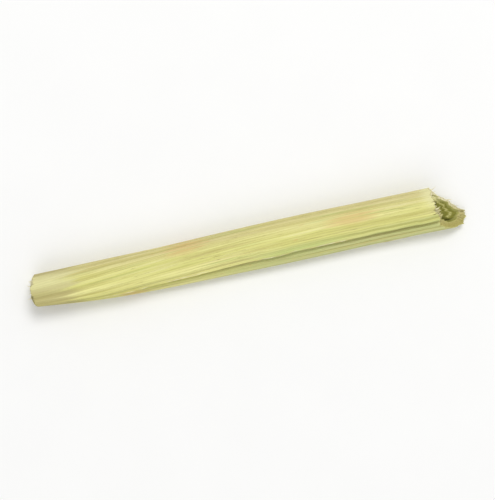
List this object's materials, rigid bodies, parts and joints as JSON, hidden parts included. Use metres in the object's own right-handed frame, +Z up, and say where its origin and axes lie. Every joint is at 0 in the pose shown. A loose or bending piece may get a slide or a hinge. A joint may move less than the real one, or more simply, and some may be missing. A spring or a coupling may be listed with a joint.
{
  "type": "lemongrass stalk",
  "caption": "Dried, cut length of lemongrass stalk: a ribbed straw-coloured leaf sheath rolled round a folded olive-green leaf, square at its thin end and slanted at its thick end.",
  "frame": {"origin": "the middle of the footprint, on the surface that the stalk lies on", "axes": "+X along the stalk from its thin end to its thick end, +Y across it to its straight far side, +Z up"},
  "size_m": [0.0438, 0.0046, 0.0034],
  "materials": {
    "straw_sheath": "dry ribbed leaf sheath, matt with a faint sheen along the ribs",
    "olive_leaf": "dry olive-green leaf, matt"
  },
  "bodies": {
    "root": {"outer_sheath": "straw_sheath", "inner_leaf": "olive_leaf"}
  },
  "joints": []
}
